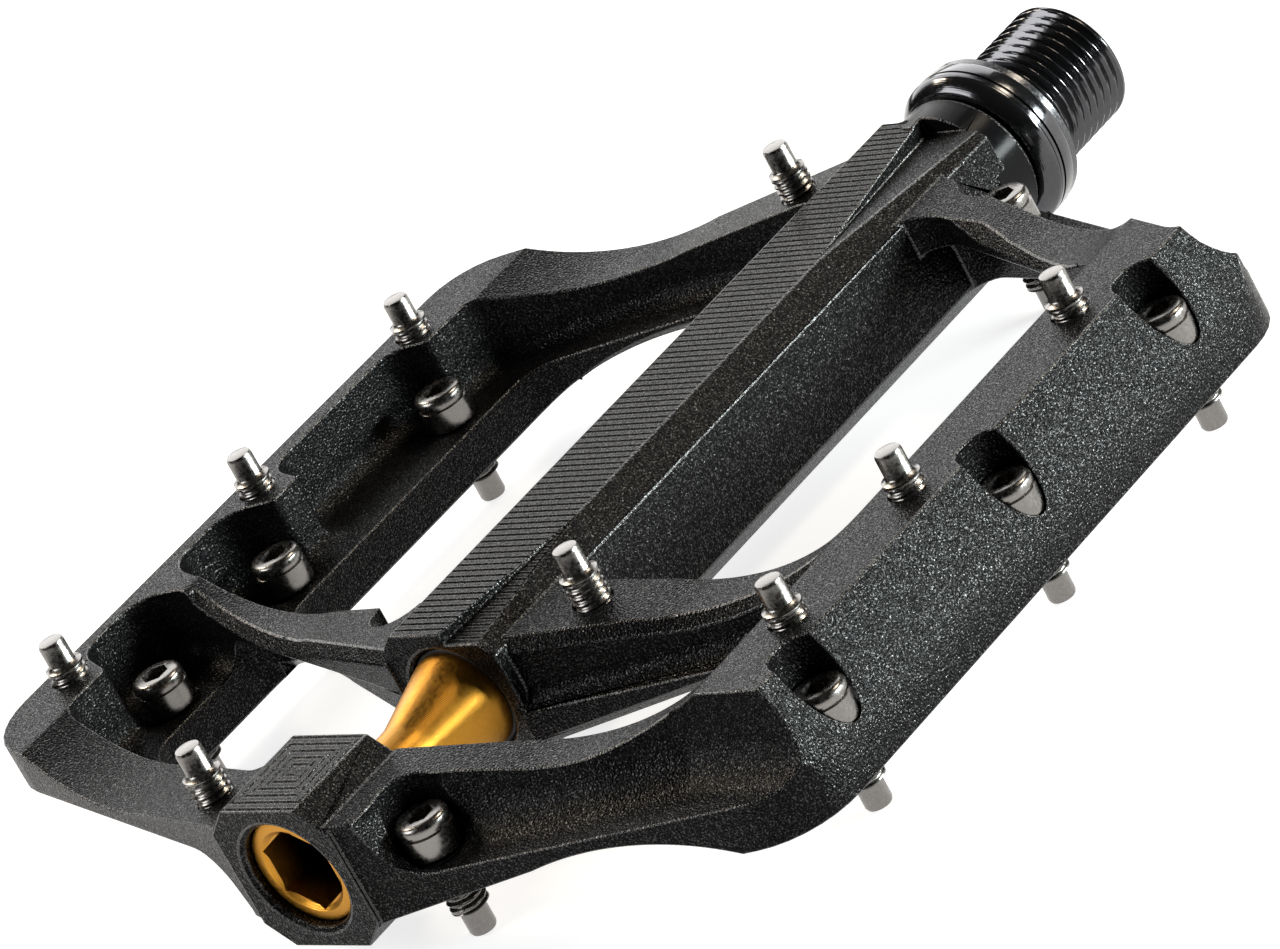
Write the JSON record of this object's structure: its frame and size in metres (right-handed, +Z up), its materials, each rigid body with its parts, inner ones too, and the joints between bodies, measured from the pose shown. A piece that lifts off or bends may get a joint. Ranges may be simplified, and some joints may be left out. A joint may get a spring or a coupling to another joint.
{
  "type": "bicycle flat pedal",
  "caption": "Open-frame platform pedal with threaded spindle, cartridge bearings, dished milled arms and removable traction pins on both faces",
  "frame": {"origin": "centre of the washer face that seats against the crank, on the axle axis", "axes": "+X along the axle towards the crank, +Y across the platform towards the scalloped rail of the top face, +Z up through one tread face"},
  "size_m": [0.1367, 0.108, 0.0218],
  "materials": {
    "anodised_black": "bead-blasted black anodised",
    "gold_anodised": "bright gold anodised",
    "pin_steel": "polished dark steel",
    "spindle_steel": "glossy blackened steel",
    "bearing_steel": "polished bearing steel",
    "pressed_steel": "pressed steel sheet",
    "seal_rubber": "matte",
    "bushing_polymer": "self-lubricating polymer",
    "nylon": "nylon"
  },
  "bodies": {
    "axle": {"spindle": "spindle_steel", "pedal_washer": "spindle_steel", "nut_washer": "pressed_steel", "lock_nut": "pressed_steel", "nut_insert": "nylon", "bearing_a_inner_race": "bearing_steel", "bearing_b_inner_race": "bearing_steel"},
    "platform": {"pedal_body": "anodised_black", "end_plug": "gold_anodised", "plug_o_ring": "seal_rubber", "lip_seal": "seal_rubber", "bushing": "bushing_polymer", "bearing_a_outer_race": "bearing_steel", "bearing_a_shields": "pressed_steel", "bearing_b_outer_race": "bearing_steel", "bearing_b_shields": "pressed_steel", "top_outer_rail_pins": "pin_steel", "top_inner_rail_pins": "pin_steel", "top_arm_pins": "pin_steel", "bottom_outer_rail_pins": "pin_steel", "bottom_inner_rail_pins": "pin_steel", "bottom_arm_pins": "pin_steel", "bearing_a_balls": "bearing_steel", "bearing_a_cage": "pressed_steel", "bearing_b_balls": "bearing_steel", "bearing_b_cage": "pressed_steel"}
  },
  "joints": [
    {"name": "pedal_spin", "type": "hinge", "parent": "axle", "child": "platform", "pos_m": [0, 0, 0], "axis": [1, 0, 0], "continuous": true}
  ]
}
